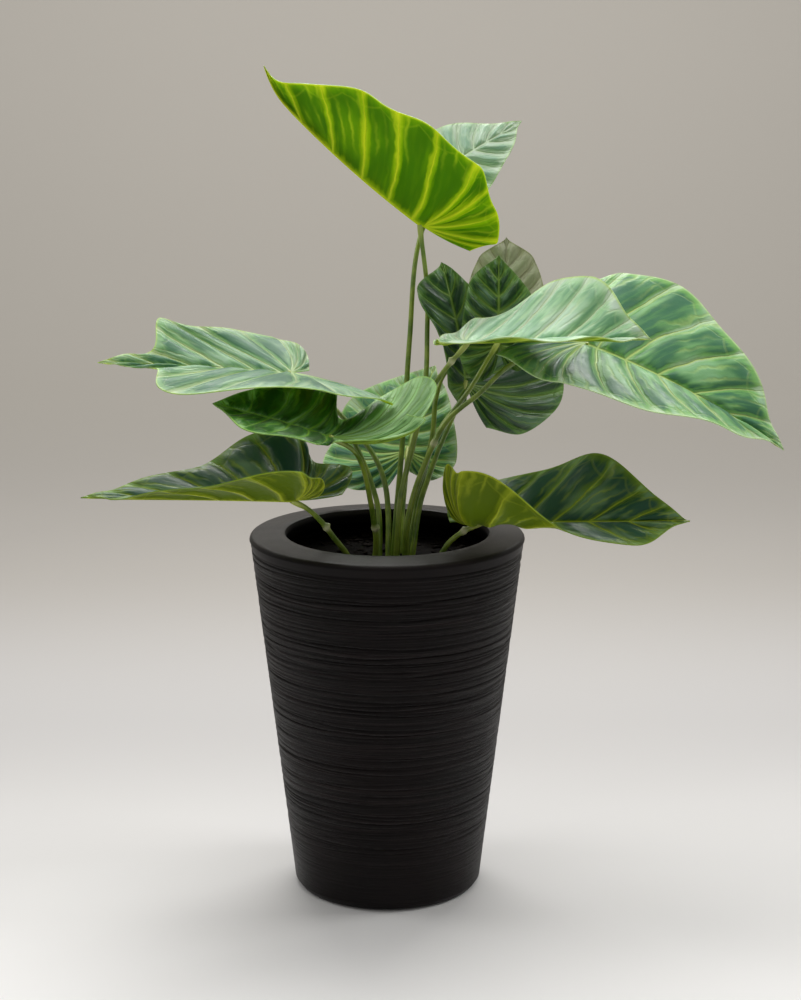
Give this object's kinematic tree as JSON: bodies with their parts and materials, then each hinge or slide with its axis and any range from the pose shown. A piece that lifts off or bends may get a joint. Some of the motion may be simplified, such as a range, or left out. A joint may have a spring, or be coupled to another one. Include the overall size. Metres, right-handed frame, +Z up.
{
  "type": "potted philodendron gloriosum",
  "caption": "House plant with large velvety heart-shaped leaves, pale veins and slender stalks rising from soil in a tall tapered charcoal planter with combed ridges.",
  "frame": {"origin": "centre of the pot's foot, on the surface it stands on", "axes": "+Z up along the pot's axis, -Y towards the viewer of the picture, +X to the viewer's right"},
  "size_m": [0.6103, 0.3219, 0.748],
  "materials": {
    "pot": "matte charcoal, combed",
    "soil": "matte dark potting mix",
    "blade": "satin velvety leaf",
    "stalk": "satin green stalk"
  },
  "bodies": {
    "root": {"pot": "pot", "soil": "soil", "blade_top": "blade", "stalk_top": "stalk", "blade_top_back": "blade", "stalk_top_back": "stalk", "blade_right_big": "blade", "stalk_right_big": "stalk", "blade_right_front": "blade", "stalk_right_front": "stalk", "blade_back_right": "blade", "stalk_back_right": "stalk", "blade_back_centre": "blade", "stalk_back_centre": "stalk", "blade_far_back": "blade", "stalk_far_back": "stalk", "blade_left_upper": "blade", "stalk_left_upper": "stalk", "blade_left_middle": "blade", "stalk_left_middle": "stalk", "blade_left_back": "blade", "stalk_left_back": "stalk", "blade_centre_back": "blade", "stalk_centre_back": "stalk", "blade_left_low": "blade", "stalk_left_low": "stalk", "blade_right_low": "blade", "stalk_right_low": "stalk"}
  },
  "joints": []
}
